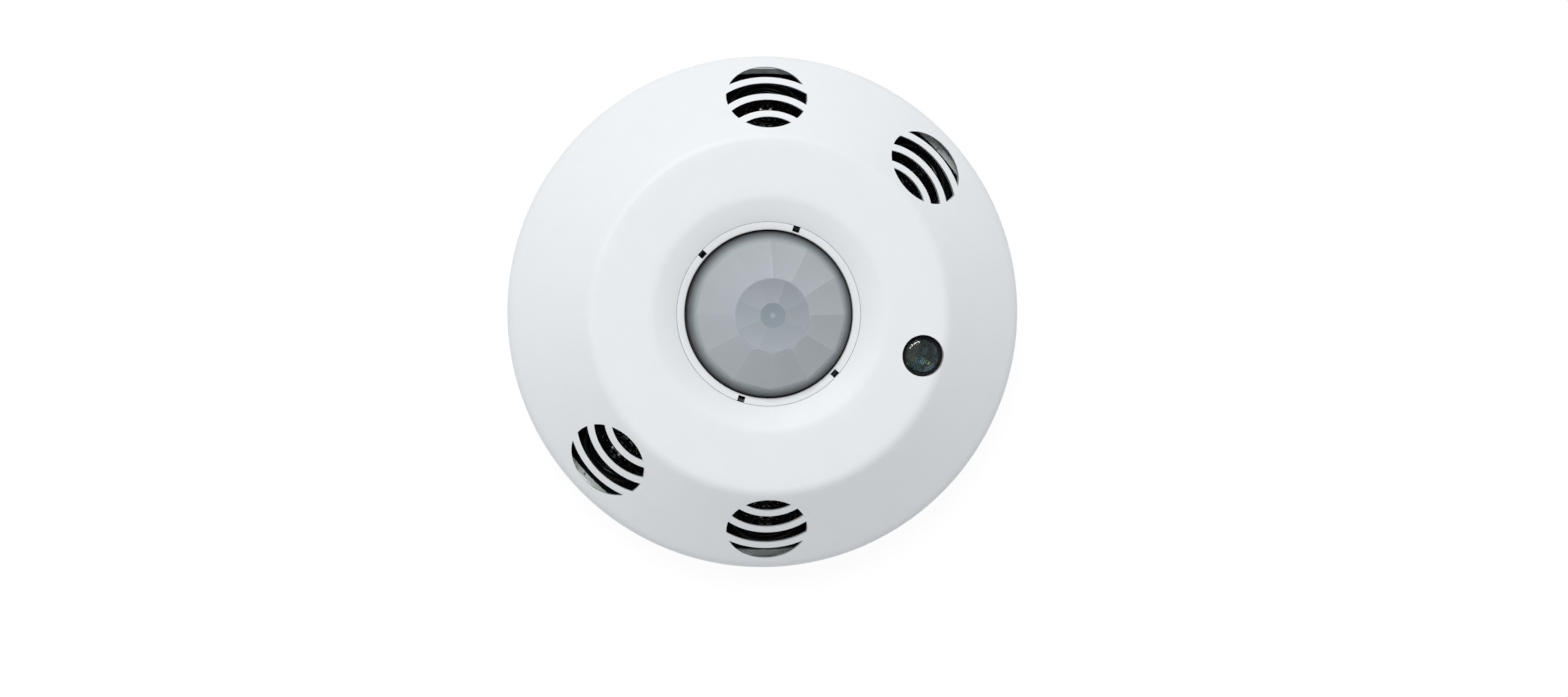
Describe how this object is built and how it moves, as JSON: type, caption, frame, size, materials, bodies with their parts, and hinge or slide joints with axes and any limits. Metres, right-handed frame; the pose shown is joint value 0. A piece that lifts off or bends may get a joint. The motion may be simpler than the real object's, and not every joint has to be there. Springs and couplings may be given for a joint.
{
  "type": "motion sensor",
  "caption": "Round white ceiling motion sensor with a domed infrared lens, barred openings over ultrasonic transducers, a light sensor window and a twist-on base.",
  "frame": {"origin": "centre of the back face of the mounting base, which lies on the ceiling or box", "axes": "+Z out of the mounting face through the lens, so the sensor lies on its back; in use it is turned over and +Z points down into the room. The mounting slots lie along X."},
  "size_m": [0.1142, 0.1142, 0.0381],
  "materials": {
    "cover_plastic": "smooth white moulded plastic, low sheen",
    "base_plastic": "white moulded plastic",
    "housing_plastic": "white moulded plastic",
    "circuit_board": "green solder mask",
    "steel_screws": "zinc plated",
    "transducer_aluminium": "drawn can",
    "transducer_screen": "black coated screen",
    "boot_rubber": "black rubber",
    "black_plastic": "black moulded plastic",
    "lens_plastic": "grey translucent polyethylene",
    "detector_metal": "nickel plated can",
    "detector_filter": "dark infrared filter",
    "clear_plastic": "clear acrylic",
    "photocell": "photocell face with a fine track",
    "led_plastic": "small clear lamps",
    "trim_body": "blue moulded plastic",
    "trim_knob": "white moulded plastic",
    "dip_body": "red moulded plastic",
    "dip_slider": "white moulded plastic",
    "terminal_plastic": "green moulded plastic",
    "relay_case": "black moulded case",
    "chip_plastic": "black epoxy",
    "crystal_metal": "drawn steel can",
    "capacitor_sleeve": "dark sleeve with a bare top"
  },
  "bodies": {
    "base": {"mounting_base": "base_plastic"},
    "sensor": {"rear_housing": "housing_plastic", "main_board": "circuit_board", "board_screws": "steel_screws", "transducer_can_1": "transducer_aluminium", "transducer_screen_1": "transducer_screen", "transducer_boot_1": "boot_rubber", "transducer_cradle_1": "black_plastic", "transducer_can_2": "transducer_aluminium", "transducer_screen_2": "transducer_screen", "transducer_boot_2": "boot_rubber", "transducer_cradle_2": "black_plastic", "transducer_can_3": "transducer_aluminium", "transducer_screen_3": "transducer_screen", "transducer_boot_3": "boot_rubber", "transducer_cradle_3": "black_plastic", "transducer_can_4": "transducer_aluminium", "transducer_screen_4": "transducer_screen", "transducer_boot_4": "boot_rubber", "transducer_cradle_4": "black_plastic", "lens_holder": "black_plastic", "pir_lens": "lens_plastic", "detector_spacer": "black_plastic", "detector_header": "detector_metal", "detector_can": "detector_metal", "detector_filter": "detector_filter", "light_pipe": "clear_plastic", "light_pipe_sleeve": "black_plastic", "photocell": "photocell", "indicator_leds": "led_plastic", "trim_body_1": "trim_body", "trim_body_2": "trim_body", "trim_body_3": "trim_body", "trim_body_4": "trim_body", "dip_switch_a": "dip_body", "dip_switch_b": "dip_body", "terminal_block": "terminal_plastic", "terminal_screws": "steel_screws", "relay": "relay_case", "microcontroller": "chip_plastic", "amplifier_chips": "chip_plastic", "crystal": "crystal_metal", "regulator": "chip_plastic", "capacitors": "capacitor_sleeve"},
    "lens_ring": {"lens_ring": "cover_plastic"},
    "trim_knob_1": {"trim_knob_1": "trim_knob"},
    "trim_knob_2": {"trim_knob_2": "trim_knob"},
    "trim_knob_3": {"trim_knob_3": "trim_knob"},
    "trim_knob_4": {"trim_knob_4": "trim_knob"},
    "dip_slider_a1": {"dip_slider_a1": "dip_slider"},
    "dip_slider_a2": {"dip_slider_a2": "dip_slider"},
    "dip_slider_a3": {"dip_slider_a3": "dip_slider"},
    "dip_slider_a4": {"dip_slider_a4": "dip_slider"},
    "dip_slider_b1": {"dip_slider_b1": "dip_slider"},
    "dip_slider_b2": {"dip_slider_b2": "dip_slider"},
    "dip_slider_b3": {"dip_slider_b3": "dip_slider"},
    "dip_slider_b4": {"dip_slider_b4": "dip_slider"},
    "cover": {"front_cover": "cover_plastic"}
  },
  "joints": [
    {"name": "base_twist", "type": "hinge", "parent": "base", "child": "sensor", "pos_m": [0, 0, 0.0043], "axis": [0, 0, 1], "range_deg": [0, 30]},
    {"name": "cover_lift", "type": "slide", "parent": "sensor", "child": "cover", "axis": [0, 0, 1], "range_m": [0, 0.035]},
    {"name": "lens_ring_twist", "type": "hinge", "parent": "sensor", "child": "lens_ring", "pos_m": [0, 0, 0.0245], "axis": [0, 0, 1], "range_deg": [0, 20]},
    {"name": "trim_1_turn", "type": "hinge", "parent": "sensor", "child": "trim_knob_1", "pos_m": [0.02946, 0.00154, 0.014], "axis": [0, 0, -1], "range_deg": [0, 260]},
    {"name": "trim_2_turn", "type": "hinge", "parent": "sensor", "child": "trim_knob_2", "pos_m": [0.02772, 0.01009, 0.014], "axis": [0, 0, -1], "range_deg": [0, 260]},
    {"name": "trim_3_turn", "type": "hinge", "parent": "sensor", "child": "trim_knob_3", "pos_m": [-0.01105, 0.02735, 0.014], "axis": [0, 0, -1], "range_deg": [0, 260]},
    {"name": "trim_4_turn", "type": "hinge", "parent": "sensor", "child": "trim_knob_4", "pos_m": [-0.01896, 0.0226, 0.014], "axis": [0, 0, -1], "range_deg": [0, 260]},
    {"name": "switch_a1_slide", "type": "slide", "parent": "sensor", "child": "dip_slider_a1", "axis": [-0.891, 0.454, 0], "range_m": [0, 0.0018]},
    {"name": "switch_a2_slide", "type": "slide", "parent": "sensor", "child": "dip_slider_a2", "axis": [-0.891, 0.454, 0], "range_m": [0, 0.0018]},
    {"name": "switch_a3_slide", "type": "slide", "parent": "sensor", "child": "dip_slider_a3", "axis": [-0.891, 0.454, 0], "range_m": [0, 0.0018]},
    {"name": "switch_a4_slide", "type": "slide", "parent": "sensor", "child": "dip_slider_a4", "axis": [-0.891, 0.454, 0], "range_m": [0, 0.0018]},
    {"name": "switch_b1_slide", "type": "slide", "parent": "sensor", "child": "dip_slider_b1", "axis": [-0.9986, -0.0523, 0], "range_m": [0, 0.0018]},
    {"name": "switch_b2_slide", "type": "slide", "parent": "sensor", "child": "dip_slider_b2", "axis": [-0.9986, -0.0523, 0], "range_m": [0, 0.0018]},
    {"name": "switch_b3_slide", "type": "slide", "parent": "sensor", "child": "dip_slider_b3", "axis": [-0.9986, -0.0523, 0], "range_m": [0, 0.0018]},
    {"name": "switch_b4_slide", "type": "slide", "parent": "sensor", "child": "dip_slider_b4", "axis": [-0.9986, -0.0523, 0], "range_m": [0, 0.0018]}
  ]
}
